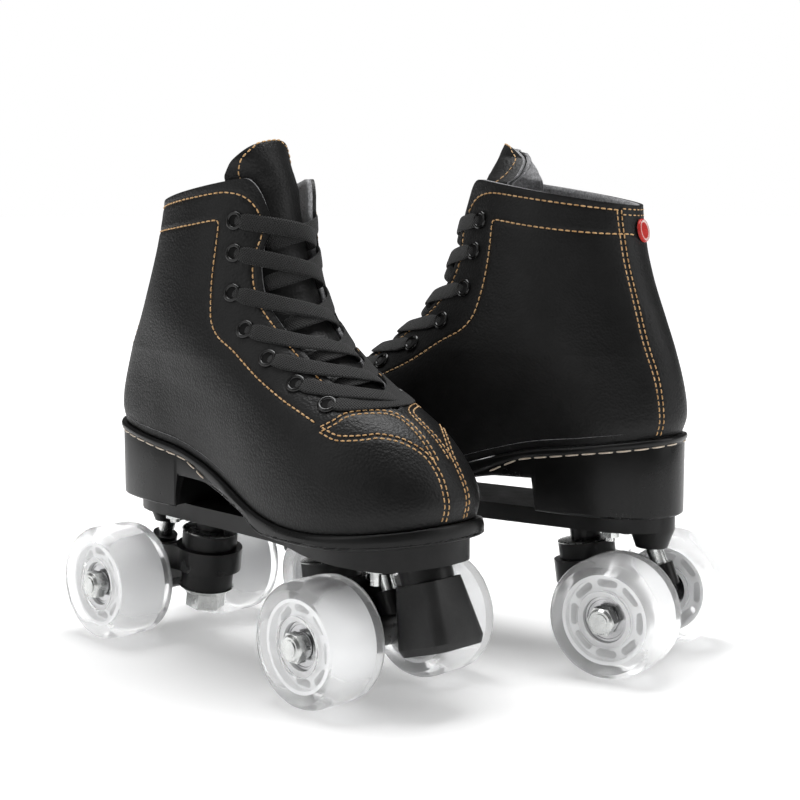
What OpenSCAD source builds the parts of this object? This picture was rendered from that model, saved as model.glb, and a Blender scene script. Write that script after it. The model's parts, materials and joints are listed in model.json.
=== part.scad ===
// Pair of quad roller skates, heights measured from the floor, millimetres.
// One skate is drawn with +X to the toe, +Y to its inner side and +Z up.
// The right skate stands along +X, the left skate is its mirror image.

/* [Wheels] */
// Diameter of each wheel
wheel_d = 58; // [54:1:65]
// Width of each wheel
wheel_w = 32; // [30:1:36]
// Diameter of the hard core inside each wheel
core_d = 43; // [38:1:46]
// Number of windows in each core
core_windows = 8; // [5:1:12]

/* [Trucks] */
// Distance between the front and rear axles
wheelbase = 158; // [150:1:166]
// Distance between the wheel centre planes on one axle
track = 70; // [68:1:80]
// Diameter of the axle rod
axle_d = 7.9; // [7:0.1:8]
// Lean of the kingpin towards the middle of the skate
kingpin_lean = 8; // [0:1:15]
// Diameter of the rubber cushions
cushion_d = 28; // [24:1:30]

/* [Plate and toe stop] */
// Height of the plate's flat top above the axles
deck_rise = 44; // [40:1:50]
// Height of the plate's side walls
plate_h = 8.5; // [7:0.5:12]
// Lean of the toe stop, its lower end forward
stop_lean = 17; // [0:1:30]
// Height of the toe stop
stop_h = 31; // [20:1:35]

/* [Boot] */
// Thickness of the leather shell
shell_t = 2.4; // [2:0.1:3]
// Thickness of the soft lining
lining_t = 2.6; // [2:0.1:4]
// Thickness of the tongue
tongue_t = 4.8; // [3:0.1:7]
// Turn of the left tongue's free end towards the outer side, in degrees
tongue_turn = 40; // [0:1:45]
// Width of the flat lace
lace_w = 7.5; // [5:0.5:9]
// Thickness of the flat lace
lace_t = 1.1; // [0.8:0.1:2]
// Outer diameter of each eyelet
eyelet_d = 9.2; // [8:0.1:11]

/* [Pair] */
// Distance along the right skate from its middle to the left skate's middle
left_x = 56.5; // [-100:0.5:150]
// Distance across from the right skate's middle to the left skate's middle
left_y = 110.8; // [100:0.5:200]
// Turn of the left skate seen from above
left_turn = 193.5; // [0:0.5:360]

/* [Hidden] */
$fn = 64;
centre = [31.93, 65.56];
axle_x = wheelbase / 2;
axle_z = wheel_d / 2;
deck_z = axle_z + deck_rise;
ring_x = -axle_x + 30.5;
ring_z = axle_z + 12.2;
pivot_x = -axle_x - 2.8;
pivot_z = axle_z + 29;
gap = 0.05;

// Boot loops from the sole up to the collar, heights above the plate's top:
// back x, back z, front x, front z, half width, share of oval, share of sag
LOOPS = [
    [-96, 39, 128, 15.5, 38.5, 0, 1],
    [-98.3, 46, 130, 23, 39.5, 0.05, 0.8],
    [-98.3, 53, 127.5, 31.5, 39.3, 0.15, 0.55],
    [-97.3, 60, 122, 40, 38.4, 0.3, 0.32],
    [-95.8, 67, 115, 47.3, 37.2, 0.45, 0.15],
    [-94.2, 73, 106, 53.3, 36.2, 0.6, 0.05],
    [-92.3, 79, 95.5, 58.5, 35.3, 0.72, 0],
    [-90, 85, 84, 64.5, 34.6, 0.84, 0],
    [-87.5, 91, 72.5, 71.8, 34, 0.94, 0],
    [-84.8, 97.5, 60.5, 80.3, 33.4, 1, 0],
    [-82, 104, 49, 90, 32.8, 1, 0],
    [-79.2, 111, 39.5, 101.5, 32, 1, 0],
    [-76.8, 118, 33, 113.5, 31.2, 1, 0],
    [-74.7, 125, 28.5, 125.5, 30.4, 1, 0],
    [-73, 132.5, 25.5, 137, 29.8, 1, 0],
    [-71.5, 140, 23.5, 149, 29.4, 1, 0],
    [-70.5, 147.5, 22.5, 163, 29.2, 1, 0]
];
TOP = len(LOOPS) - 1;

// Half width of the foot outline against the share of its length
PLAN = [
    [0, 0], [0.012, 0.26], [0.03, 0.42], [0.06, 0.56], [0.12, 0.665], [0.2, 0.705],
    [0.3, 0.69], [0.4, 0.715], [0.5, 0.805], [0.6, 0.92], [0.7, 1], [0.78, 1],
    [0.86, 0.925], [0.92, 0.79], [0.96, 0.62], [0.985, 0.4], [0.995, 0.23], [1, 0]
];

// Height of the line where leather meets sole, against x
FEATHER = [
    [-110, 41.5], [-96, 39.5], [-60, 34.5], [-27, 29.5], [-10, 25], [12, 18],
    [25, 13.5], [40, 9.3], [60, 6.5], [80, 6.1], [100, 7.7], [120, 10.3], [134, 12.8]
];

// Share of the length where the facing edge runs, for each loop
FACING = [1, 1, 1, 1, 1, 1, 1, 0.957, 0.948, 0.937, 0.922, 0.896, 0.888, 0.902, 0.93,
    0.938, 0.905];
THROAT = 6;

// Eyelets as loop number and share of length
EYELETS = [[14.4, 0.785], [13.0, 0.78], [11.3, 0.757], [9.75, 0.77], [8.4, 0.806],
    [7.15, 0.849], [6.02, 0.895]];

// Plate outline as x and half width
PLATE = [[-91, 0], [-90.2, 6], [-88, 11], [-84, 15.5], [-78, 19], [-70, 21.3], [-60, 22.2],
    [-30, 22.5], [0, 22.5], [28, 23], [44, 25], [58, 28.5], [72, 31.5], [86, 32.5],
    [98, 31], [108, 27.5], [116, 22], [122, 15.5], [125.5, 9], [127, 0]];

// Plate bolts as x, y, top and lower end above the floor
BOLTS = [[-axle_x + 15, 9.5, -3, -15], [axle_x + 16, 16, -3, -19]];

function clamp01(v) = min(1, max(0, v));
function mid_y(x, z) = -3.5 + 3.5 * pow(clamp01((x - 60) / 70), 2)
    + 7.5 * clamp01((z - 77) / 75);
function sag_z(x) = lookup(x, FEATHER) - 39 + 23.5 * (x + 96) / 224;
function oval(c) = let (a = c < 0.47 ? 0.47 : 0.53) sqrt(max(0, 1 - pow((c - 0.47) / a, 2)));
function loop_row(u) = let (i = min(TOP - 1, floor(u)), f = u - i)
    [for (j = [0:6]) LOOPS[i][j] * (1 - f) + LOOPS[i + 1][j] * f];

// Point on the boot: row, share of length, side and inset from the outer surface
function boot_pt(r, c, side, inset) =
    let (x = r[0] + inset + (r[2] - r[0] - 2 * inset) * c,
         z = r[1] + (r[3] - r[1]) * c + r[6] * sag_z(x),
         h = (r[4] - inset) * ((1 - r[5]) * lookup(c, PLAN) + r[5] * oval(c)))
    [x, mid_y(x, z) + side * h, z];
function surf(u, c, side, inset = 0) = boot_pt(loop_row(u), c, side, inset);
function unit(v) = v / norm(v);
function normal(u, c, side) =
    let (n = unit(cross(surf(u + 0.2, c, side) - surf(u - 0.2, c, side),
                        surf(u, c + 0.01, side) - surf(u, c - 0.01, side))))
    n[1] * side > 0 ? n : -n;

// Share of length at step j of 2m, front to back to front
function step_c(e, j, m) = (1 - cos(acos(1 - 2 * e) * abs(m - j) / m)) / 2;
function tris(q) = [[q[0], q[1], q[2]], [q[0], q[2], q[3]]];
function flat(list) = [for (a = list) for (b = a) b];

// Foot shaped cup between two insets, open at the throat and the collar
module boot_cup(in_a, in_b, lift_a, lift_b, m, rise) {
    n = 2 * m + 1;
    function layer(inset, lift) = flat([for (k = [0:TOP]) [for (j = [0:2 * m])
        boot_pt(LOOPS[k], step_c(FACING[k], j, m), j < m ? -1 : 1, inset)
        + [0, 0, k == 0 ? lift : (k == TOP ? rise : 0)]]]);
    function id(s, k, j) = s * n * (TOP + 1) + k * n + (k <= THROAT && j == 2 * m ? 0 : j);
    outer = flat([for (k = [0:TOP - 1]) for (j = [0:2 * m - 1])
        tris([id(0, k, j), id(0, k, j + 1), id(0, k + 1, j + 1), id(0, k + 1, j)])]);
    inner = flat([for (k = [0:TOP - 1]) for (j = [0:2 * m - 1])
        tris([id(1, k, j), id(1, k + 1, j), id(1, k + 1, j + 1), id(1, k, j + 1)])]);
    rim = flat([for (j = [0:2 * m - 1])
        tris([id(0, TOP, j), id(0, TOP, j + 1), id(1, TOP, j + 1), id(1, TOP, j)])]);
    edge_a = flat([for (k = [THROAT:TOP - 1])
        tris([id(0, k, 0), id(0, k + 1, 0), id(1, k + 1, 0), id(1, k, 0)])]);
    edge_b = flat([for (k = [THROAT:TOP - 1])
        tris([id(0, k + 1, 2 * m), id(0, k, 2 * m), id(1, k, 2 * m), id(1, k + 1, 2 * m)])]);
    sole_a = flat([for (j = [1:m - 2])
        tris([id(0, 0, j + 1), id(0, 0, j), id(0, 0, 2 * m - j), id(0, 0, 2 * m - j - 1)])]);
    sole_b = flat([for (j = [1:m - 2])
        tris([id(1, 0, j), id(1, 0, j + 1), id(1, 0, 2 * m - j - 1), id(1, 0, 2 * m - j)])]);
    ends = [[id(0, 0, 1), id(0, 0, 0), id(0, 0, 2 * m - 1)],
            [id(0, 0, m), id(0, 0, m - 1), id(0, 0, m + 1)],
            [id(1, 0, 0), id(1, 0, 1), id(1, 0, 2 * m - 1)],
            [id(1, 0, m - 1), id(1, 0, m), id(1, 0, m + 1)]];
    polyhedron(concat(layer(in_a, lift_a), layer(in_b, lift_b)),
        concat(outer, inner, rim, edge_a, edge_b, sole_a, sole_b, ends), convexity = 6);
}

// Closed sheet between two grids of points with the same rows and columns
module sheet(front, back) {
    rows = len(front) - 1;
    cols = len(front[0]) - 1;
    n = cols + 1;
    function id(s, r, i) = s * n * (rows + 1) + r * n + i;
    face = flat([for (r = [0:rows - 1]) for (i = [0:cols - 1])
        tris([id(0, r, i), id(0, r, i + 1), id(0, r + 1, i + 1), id(0, r + 1, i)])]);
    rear = flat([for (r = [0:rows - 1]) for (i = [0:cols - 1])
        tris([id(1, r, i), id(1, r + 1, i), id(1, r + 1, i + 1), id(1, r, i + 1)])]);
    sides = flat([for (r = [0:rows - 1]) concat(
        tris([id(0, r, 0), id(0, r + 1, 0), id(1, r + 1, 0), id(1, r, 0)]),
        tris([id(0, r + 1, cols), id(0, r, cols), id(1, r, cols), id(1, r + 1, cols)]))]);
    ends = flat([for (i = [0:cols - 1]) concat(
        tris([id(0, 0, i + 1), id(0, 0, i), id(1, 0, i), id(1, 0, i + 1)]),
        tris([id(0, rows, i), id(0, rows, i + 1), id(1, rows, i + 1), id(1, rows, i)]))]);
    polyhedron(concat(flat(front), flat(back)), concat(face, rear, sides, ends), convexity = 6);
}

module boot_upper() {
    translate([0, 0, deck_z]) boot_cup(0, shell_t, 0, 2.2, 18, 0);
}

module boot_lining() {
    a = shell_t + 1.1;
    translate([0, 0, deck_z]) boot_cup(a, a + lining_t, 3.2, 5.6, 12, 0.8);
}

// Leans a point of the tongue's free end to the outer side and turns it, more the higher it is
function twisted(p, turn) = let (
        k = min(1, max(0, (p[2] - 155) / 16)),
        t = -turn * min(1, max(0, (p[2] - 159) / 14)),
        x = p[0] - 14,
        y = p[1] - 4)
    [14 + x * cos(t) - (y - 4.5 * k) * sin(t), 4 + x * sin(t) + (y - 4.5 * k) * cos(t), p[2] + 0.14 * y * k];

// Tongue rows: loop number, half width, lean back; its free end: lean back, rise, half width, flatness
module boot_tongue(turn) {
    ROWS = [[7, 15, 0], [8, 19, 0], [9, 21, 0], [10, 21.5, 0], [11, 22, 0], [12, 22, -0.5],
        [13, 21.5, -1.5], [14, 20.5, -3], [15, 20, -4.5], [16, 19.5, -6]];
    RISE = [[-7.5, 4, 19.3, 1.05], [-9.8, 9.5, 17.6, 1.2], [-11.3, 13, 12, 1.35], [-12.4, 15, 5.5, 1.5]];
    a = shell_t + lining_t + 1.8;
    function across(r, h, d, e) = [for (i = [0:10])
        let (y = h * cos(18 * i), w = (r[4] - d) * e[3],
             c = 0.47 + 0.53 * sqrt(max(0, 1 - pow(y / w, 2))),
             x = r[0] + d + (r[2] - r[0] - 2 * d) * c,
             z = r[1] + (r[3] - r[1]) * c)
        twisted([x + e[0], mid_y(x, z) + y, z + e[1]], turn)];
    function grid(d) = concat(
        [for (q = ROWS) across(LOOPS[q[0]], q[1], d, [q[2], 0, 0, 1])],
        [for (q = RISE) across(LOOPS[TOP], q[2], d, q)]);
    translate([0, 0, deck_z]) sheet(grid(a), grid(a + tongue_t));
}

// Toe strip with its two wings, and the strip up the heel
module boot_overlays() {
    WING = [[0.845, 4.25, 4.35], [0.867, 4.0, 4.75], [0.9, 4.05, 5.2], [0.935, 4.25, 5.75],
        [0.96, 4.3, 6.05], [0.984, 4.05, 6.3], [0.9945, 3.5, 6.38]];
    HEEL = [[0.2, 0.02], [1.6, 0.023], [4, 0.027], [7, 0.037], [10.5, 0.04], [13.8, 0.046],
        [15.9, 0.052]];
    function strip(d) = [for (k = [0:9]) let (u = 0.15 + 0.69 * k)
        [for (i = [0:4]) surf(u, 1 - 0.0028 * pow(1 - i / 2, 2), i < 2 ? 1 : -1, d)]];
    function wing(s, d) = [for (k = [0:4]) [for (q = WING)
        surf(q[1] + (q[2] - q[1]) * k / 4, q[0], s, d)]];
    function stay(d) = flat([for (k = [0:6 - 1]) [for (t = [0:2])
        let (u = HEEL[k][0] + (HEEL[k + 1][0] - HEEL[k][0]) * t / 3,
             c = HEEL[k][1] + (HEEL[k + 1][1] - HEEL[k][1]) * t / 3)
        [for (i = [0:6]) surf(u, c * pow(1 - i / 3, 2), i < 3 ? -1 : 1, d)]]]);
    translate([0, 0, deck_z]) {
        sheet(strip(-1.35), strip(-0.6));
        sheet(wing(-1, -0.6), wing(-1, -1.35));
        sheet(wing(1, -1.35), wing(1, -0.6));
        sheet(stay(-1.35), stay(-0.6));
    }
}

// Outline of the sole, grown outwards from the line where the leather meets it
function sole_edge(grow, m = 48) = [for (j = [0:2 * m - 1])
    let (c = (1 - cos(180 * j / m)) / 2,
         x = -96 - grow + (224 + 2 * grow) * c,
         p = lookup(c, PLAN),
         side = j < m ? -1 : 1)
    [x, mid_y(x, 0) + side * (38.5 * p + grow * min(1, 6 * p))]];

module side_cut(points) {
    rotate([90, 0, 0]) linear_extrude(200, center = true) polygon(points);
}

module outsole() {
    top = [for (q = FEATHER) [q[0], q[1] - 0.5]];
    lip = [[-10, 21.5], [-27, 26.2], [-60, 31.2], [-96, 36.2], [-110, 38.2]];
    base = [[134, 4.6], [128, 3.8], [115, 2.3], [103, 1], [92, gap], [46, gap],
        [40, 1.7], [36, 3.4], [30, 6.6], [12, 11.6], [-10, 15.4], [-33, 16]];
    translate([0, 0, deck_z]) {
        intersection() {
            linear_extrude(60) polygon(sole_edge(1.2));
            side_cut(concat(top, base, [[-34, gap], [-110, gap]]));
        }
        intersection() {
            linear_extrude(60) polygon(sole_edge(2.4));
            side_cut(concat(top, [for (k = [0:10]) base[k]], lip));
        }
    }
}

// Flat lace from one eyelet over the throat: straight across, or down to the next facing
module lace_run(i, side, across, lift) {
    STEPS = 9;
    a = EYELETS[i];
    b = EYELETS[across ? i : i + 1];
    edges = [for (k = [0:TOP]) [k, FACING[k]]];
    u_end = across ? b[0] : 0.35 * a[0] + 0.65 * b[0];
    turn_a = acos(1 - 2 * a[1]);
    turn_b = acos(1 - 2 * (across ? b[1] : lookup(u_end, edges)));
    s_end = across ? 0.91 : 0.97;
    function at(s, v, d) =
        let (q = turn_a + (360 - turn_a - turn_b) * s,
             u = a[0] + (u_end - a[0]) * s + v)
        surf(u, (1 - cos(min(q, 360 - q))) / 2, q > 180 ? -side : side, d);
    function depth(s) = -1.6 - lift * pow(sin(180 * s), 2) - (across ? 0.5 : 0.5 * (1 - s));
    function grid(t) = [for (k = [0:STEPS]) let (s = 0.09 + (s_end - 0.09) * k / STEPS, w = lace_span(a[0]))
        [at(s, side * w, depth(s) - t), at(s, 0, depth(s) - t - 0.2), at(s, -side * w, depth(s) - t)]];
    sheet(grid(lace_t), grid(0));
}

// Half the lace width as a share of the spacing of the loops
function lace_span(u) = lace_w / 2 / lookup(u, [[6, 10], [8, 12], [10, 14], [12, 13], [15, 12.5]]);

module laces() {
    translate([0, 0, deck_z]) {
        lace_run(6, -1, true, 1);
        for (i = [0:5]) {
            lace_run(i, -1, false, 3);
            lace_run(i, 1, false, 0.6);
        }
    }
}

module eyelets() {
    for (q = EYELETS) for (side = [-1, 1]) {
        n = normal(q[0], q[1], side);
        translate(surf(q[0], q[1], side) + 0.45 * n + [0, 0, deck_z])
            rotate([0, acos(n[2]), atan2(n[1], n[0])])
                rotate_extrude()
                    polygon([[2.7, 0], [eyelet_d / 2, 0], [eyelet_d / 2 - 0.3, 0.5],
                        [eyelet_d / 2 - 1, 0.75], [3, 0.6]]);
    }
}

module size_badge() {
    p = surf(14.4, 0, 1);
    translate([p[0] - 1.65, p[1], deck_z + p[2]]) rotate([0, -79, 0]) {
        cylinder(r = 5.6, h = 0.8);
        difference() {
            cylinder(r = 5.6, h = 1.3);
            translate([0, 0, 0.5]) cylinder(r = 4.7, h = 1);
        }
    }
}

function plate_edge(inset) = concat(
    [for (q = PLATE) [q[0] + (q[0] < 18 ? inset : -inset), -max(0, q[1] - inset)]],
    [for (i = [len(PLATE) - 2:-1:1]) let (q = PLATE[i])
        [q[0] + (q[0] < 18 ? inset : -inset), max(0, q[1] - inset)]]);

module plate() {
    top = [[-95, 0], [92, 0], [103, 0.9], [115, 2.2], [130, 4]];
    under = [[130, -6.5], [112, -9.5], [95, -plate_h - 0.8], [60, -plate_h - 0.8],
        [45, -plate_h], [-95, -plate_h]];
    translate([0, 0, deck_z]) difference() {
        union() {
            difference() {
                intersection() {
                    translate([0, 0, -30]) linear_extrude(60) polygon(plate_edge(0));
                    side_cut(concat(top, under));
                }
                intersection() {
                    translate([0, 0, -30]) linear_extrude(60) polygon(plate_edge(2.6));
                    side_cut(concat([for (q = top) [q[0], q[1] - 3]], [[130, -30], [-95, -30]]));
                }
            }
            for (y = [-9, 9]) translate([-38, y - 1.2, -plate_h + 1]) cube([112, 2.4, plate_h - 2]);
            for (s = [-1, 1]) {
                translate([s * -ring_x, 0, ring_z - deck_z]) rotate([0, -s * kingpin_lean, 0])
                    translate([0, 0, 15.3]) cylinder(r = 7.5, h = 15);
                translate([s * -pivot_x, 0, pivot_z - deck_z - 2.5]) cylinder(r1 = 7.8, r2 = 11, h = 9);
                translate([s * -pivot_x, 0, pivot_z - deck_z + 6.5])
                    cylinder(r = 11, h = deck_z - pivot_z - 8);
            }
            for (q = BOLTS) for (s = [-1, 1]) translate([q[0], s * q[1], -plate_h + 0.5])
                cylinder(r = 5, h = plate_h - 2);
            translate([111.5, 0, -16.8]) rotate([0, -stop_lean, 0]) cylinder(r = 12, h = 16.3);
        }
        for (s = [-1, 1]) {
            translate([s * -ring_x, 0, ring_z - deck_z]) rotate([0, -s * kingpin_lean, 0])
                cylinder(r = 5, h = 27);
            translate([s * -pivot_x, 0, pivot_z - deck_z]) sphere(r = 4.5);
            translate([s * -pivot_x, 0, pivot_z - deck_z - 5]) cylinder(r1 = 9, r2 = 4, h = 5.2);
        }
        for (q = BOLTS) for (s = [-1, 1]) translate([q[0], s * q[1], -20]) cylinder(r = 2.6, h = 18);
        translate([111.5, 0, -16.8]) rotate([0, -stop_lean, 0]) translate([0, 0, -1])
            cylinder(r = 4.1, h = 11);
    }
}

// Kingpin with its two washers and its hexagon head
module kingpin() {
    translate([ring_x, 0, ring_z]) rotate([0, kingpin_lean, 0]) {
        translate([0, 0, -18]) cylinder(r = 4.9, h = 44.5);
        translate([0, 0, -27]) cylinder(r = 10, h = 8.8, $fn = 6);
        translate([0, 0, -18.2]) cylinder(r1 = 11.5, r2 = cushion_d / 2, h = 2.3);
        translate([0, 0, 13.7]) rotate_extrude()
            polygon([[4.5, 0], [cushion_d / 2, 0], [cushion_d / 2 + 0.4, 0.5],
                [cushion_d / 2, 1], [9, 1.5], [4.5, 1.5]]);
    }
}

module kingpins() {
    kingpin();
    mirror([1, 0, 0]) kingpin();
}

module fasteners() {
    translate([0, 0, deck_z]) {
        for (q = BOLTS) for (s = [-1, 1]) translate([q[0], s * q[1], 0]) {
            translate([0, 0, q[3]]) cylinder(r = 2.5, h = q[2] - q[3]);
            translate([0, 0, -plate_h - 4.5]) difference() {
                cylinder(r = 4.6, h = 4.9, $fn = 6);
                translate([0, 0, -1]) cylinder(r = 2.4, h = 7);
            }
        }
        translate([111.5, 0, -16.8]) rotate([0, -stop_lean, 0]) {
            translate([0, 0, -stop_h + 8]) cylinder(r = 4, h = stop_h);
            translate([0, 0, -stop_h + 3]) cylinder(r = 7.5, h = 5, $fn = 6);
        }
    }
}

// Rounded rectangle loop for the toe stop
function stop_loop(a, b, r, z) = [for (q = [0:3]) for (k = [0:4])
    let (t = 90 * q + 22.5 * k, sx = q == 0 || q == 3 ? 1 : -1, sy = q < 2 ? 1 : -1)
    [sx * (a - r) + r * cos(t), sy * (b - r) + r * sin(t), z]];

module toe_stop() {
    loops = [stop_loop(14, 13.4, 4.5, -stop_h), stop_loop(15.4, 14.8, 5.5, -stop_h + 3.5),
        stop_loop(12.5, 11.2, 5, -gap)];
    n = 20;
    walls = flat([for (k = [0:1]) for (j = [0:n - 1]) let (i = (j + 1) % n)
        tris([k * n + j, (k + 1) * n + j, (k + 1) * n + i, k * n + i])]);
    translate([111.5, 0, deck_z - 16.8]) rotate([0, -stop_lean, 0]) difference() {
        polyhedron(flat(loops), concat(walls, [[for (j = [0:n - 1]) j],
            [for (j = [n - 1:-1:0]) 2 * n + j]]));
        translate([0, 0, -stop_h - 1]) cylinder(r = 8, h = 9.05);
        translate([0, 0, -stop_h]) cylinder(r = 4.1, h = stop_h + 5);
    }
}

// Axle housing, arm and cushion ring of one truck, drawn for the rear end
module hanger() {
    bar = track / 2 - 10.6;
    difference() {
        union() {
            translate([ring_x, 0, ring_z]) rotate([0, kingpin_lean, 0])
                translate([0, 0, -5.75]) cylinder(r = 17, h = 11.5);
            intersection() {
                rotate([90, 0, 0]) linear_extrude(40, center = true)
                    polygon([[ring_x, ring_z + 5.5], [ring_x - 9, ring_z + 6.6],
                        [-axle_x - 2, ring_z + 2.5], [-axle_x - 5, axle_z + 8],
                        [-axle_x - 5, axle_z - 6], [-axle_x + 4, axle_z - 8],
                        [ring_x - 14, ring_z - 6.4], [ring_x, ring_z - 5.5]]);
                linear_extrude(100) polygon([[ring_x, -16.8], [ring_x, 16.8],
                    [-axle_x - 6, 13], [-axle_x - 6, -13]]);
            }
            translate([-axle_x, 0, axle_z]) rotate([90, 0, 0]) cylinder(r = 9.5, h = 35, center = true);
            translate([-axle_x, 0, axle_z]) rotate([90, 0, 0]) cylinder(r = 6, h = 2 * bar, center = true);
            translate([-axle_x - 11, 0, axle_z + 8]) rotate([0, 20, 0]) cylinder(r = 6.5, h = 11);
        }
        translate([ring_x, 0, ring_z]) rotate([0, kingpin_lean, 0]) {
            translate([0, 0, -10]) cylinder(r = 9, h = 20);
            translate([0, 0, 5.8]) cylinder(r = 16, h = 14);
            translate([0, 0, -19.8]) cylinder(r = 16, h = 14);
        }
        translate([ring_x - 24, -8, ring_z + 2.2]) cube([9, 16, 10]);
        translate([-axle_x, 0, axle_z]) rotate([90, 0, 0]) cylinder(r = axle_d / 2 + gap, h = 100, center = true);
        pivot_pin(gap);
    }
}

module cushions() {
    translate([ring_x, 0, ring_z]) rotate([0, kingpin_lean, 0]) {
        translate([0, 0, 5.8]) difference() {
            cylinder(r = cushion_d / 2, h = 7.8);
            translate([0, 0, -1]) cylinder(r = 5.2, h = 10);
        }
        translate([0, 0, -15.85]) difference() {
            cylinder(r1 = cushion_d / 2 - 1, r2 = cushion_d / 2 - 0.5, h = 10.05);
            translate([0, 0, -1]) cylinder(r = 5.2, h = 13);
        }
    }
}

// Pin from the hanger up to the cup in the plate, with a ball end
module pivot_pin(grow) {
    lean = atan2(5.7, 13);
    translate([pivot_x, 0, pivot_z]) rotate([0, lean, 0]) {
        translate([0, 0, -19]) cylinder(r = 4 + grow, h = 19);
        sphere(r = 4.4 + grow);
    }
}

// Axle rod with its washers and lock nuts, and the pivot pin
module axle() {
    end = track / 2 + 18.2;
    pivot_pin(0);
    translate([-axle_x, 0, axle_z]) {
        rotate([90, 0, 0]) cylinder(r = axle_d / 2, h = 2 * end, center = true);
        for (s = [0, 1]) mirror([0, s, 0]) translate([0, track / 2 + 10.7, 0]) rotate([-90, 0, 0]) {
            cylinder(r = 6.3, h = 0.9);
            translate([0, 0, 0.8]) cylinder(r = 7.2, h = 5, $fn = 6);
            translate([0, 0, 5.7]) cylinder(r1 = 6.2, r2 = 5.2, h = 1.3);
        }
    }
}

// Clear cast tyre around the core, axis along Y
module tyre() {
    w = wheel_w / 2;
    r = wheel_d / 2;
    c = core_d / 2 + gap;
    rotate([90, 0, 0]) rotate_extrude()
        polygon([[13.7, 12.25], [13.7, w - 2.2], [16, w - 1.6], [21, w - 0.5], [23.5, w],
            [25.5, w - 0.5], [r - 1.6, w - 2.4], [r - 0.4, w - 5], [r, w - 8],
            [r, 8 - w], [r - 0.4, 5 - w], [r - 1.6, 2.4 - w], [25.5, 0.5 - w],
            [23.5, -w], [21, 0.5 - w], [16, 1.6 - w], [13.7, 2.2 - w], [13.7, -12.25],
            [c, -12.25], [c, 12.25]]);
}

// Hard core with its bearing seats and a ring of windows
module core() {
    r = core_d / 2;
    rotate([90, 0, 0]) difference() {
        union() {
            cylinder(r = 13.65, h = 24, center = true);
            cylinder(r = r, h = 18, center = true);
            difference() {
                cylinder(r = r, h = 24.4, center = true);
                cylinder(r = r - 1.6, h = 25, center = true);
            }
        }
        cylinder(r = 8, h = 30, center = true);
        for (s = [-1, 1]) translate([0, 0, s * 13.4]) cylinder(r = 11.02, h = 20, center = true);
        for (k = [0:core_windows - 1]) rotate([0, 0, 360 / core_windows * k])
            translate([17.1, 0, 0]) {
                cube([3.6, 7, 30], center = true);
                for (y = [-3.5, 3.5]) translate([0, y, 0]) cylinder(r = 1.8, h = 30, center = true);
            }
    }
}

// Two ball bearings with a spacer sleeve between them
module bearings() {
    rotate([90, 0, 0]) rotate_extrude()
        polygon([[4, 10.4], [6, 10.4], [6.2, 10], [9.3, 10], [9.5, 10.4], [10.7, 10.4],
            [11, 10.1], [11, 3.5], [5.5, 3.5], [5.5, -3.5], [11, -3.5], [11, -10.1],
            [10.7, -10.4], [9.5, -10.4], [9.3, -10], [6.2, -10], [6, -10.4], [4, -10.4]]);
}

module skate(side) {
    if (side == "right") translate([-centre[0], -centre[1], 0]) children();
    else translate([left_x - centre[0], left_y - centre[1], 0]) rotate([0, 0, left_turn])
        mirror([0, 1, 0]) children();
}

module truck(end) {
    if (end == "rear") children();
    else mirror([1, 0, 0]) children();
}

module wheel_at(end, place) {
    x = end == "front" ? axle_x : -axle_x;
    y = place == "outer" ? -track / 2 : track / 2;
    translate([x, y, axle_z]) children();
}

// Node to draw on its own, or all

module right_boot_upper() {
    color("#1c1c1d") skate("right") boot_upper();
}

module right_boot_lining() {
    color("#c9c9cb") skate("right") boot_lining();
}

module right_boot_tongue() {
    color("#202021") skate("right") boot_tongue(0);
}

module right_boot_overlays() {
    color("#232324") skate("right") boot_overlays();
}

module right_outsole() {
    color("#161617") skate("right") outsole();
}

module right_laces() {
    color("#101011") skate("right") laces();
}

module right_eyelets() {
    color("#2a2b2d") skate("right") eyelets();
}

module right_size_badge() {
    color("#c8202a") skate("right") size_badge();
}

module right_plate() {
    color("#151516") skate("right") plate();
}

module right_kingpins() {
    color("#b9bcc0") skate("right") kingpins();
}

module right_fasteners() {
    color("#c4c7ca") skate("right") fasteners();
}

module right_toe_stop() {
    color("#1a1a1b") skate("right") toe_stop();
}

module right_front_hanger() {
    color("#131314") skate("right") truck("front") hanger();
}

module right_front_cushions() {
    color("#1b1b1c") skate("right") truck("front") cushions();
}

module right_front_axle() {
    color("#bfc2c6") skate("right") truck("front") axle();
}

module right_front_outer_tyre() {
    color("#e9eef2") skate("right") wheel_at("front", "outer") tyre();
}

module right_front_outer_core() {
    color("#f7f7f7") skate("right") wheel_at("front", "outer") core();
}

module right_front_outer_bearings() {
    color("#9a9da1") skate("right") wheel_at("front", "outer") bearings();
}

module right_front_inner_tyre() {
    color("#e9eef2") skate("right") wheel_at("front", "inner") tyre();
}

module right_front_inner_core() {
    color("#f7f7f7") skate("right") wheel_at("front", "inner") core();
}

module right_front_inner_bearings() {
    color("#9a9da1") skate("right") wheel_at("front", "inner") bearings();
}

module right_rear_hanger() {
    color("#131314") skate("right") truck("rear") hanger();
}

module right_rear_cushions() {
    color("#1b1b1c") skate("right") truck("rear") cushions();
}

module right_rear_axle() {
    color("#bfc2c6") skate("right") truck("rear") axle();
}

module right_rear_outer_tyre() {
    color("#e9eef2") skate("right") wheel_at("rear", "outer") tyre();
}

module right_rear_outer_core() {
    color("#f7f7f7") skate("right") wheel_at("rear", "outer") core();
}

module right_rear_outer_bearings() {
    color("#9a9da1") skate("right") wheel_at("rear", "outer") bearings();
}

module right_rear_inner_tyre() {
    color("#e9eef2") skate("right") wheel_at("rear", "inner") tyre();
}

module right_rear_inner_core() {
    color("#f7f7f7") skate("right") wheel_at("rear", "inner") core();
}

module right_rear_inner_bearings() {
    color("#9a9da1") skate("right") wheel_at("rear", "inner") bearings();
}

module left_boot_upper() {
    color("#1c1c1d") skate("left") boot_upper();
}

module left_boot_lining() {
    color("#c9c9cb") skate("left") boot_lining();
}

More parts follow.
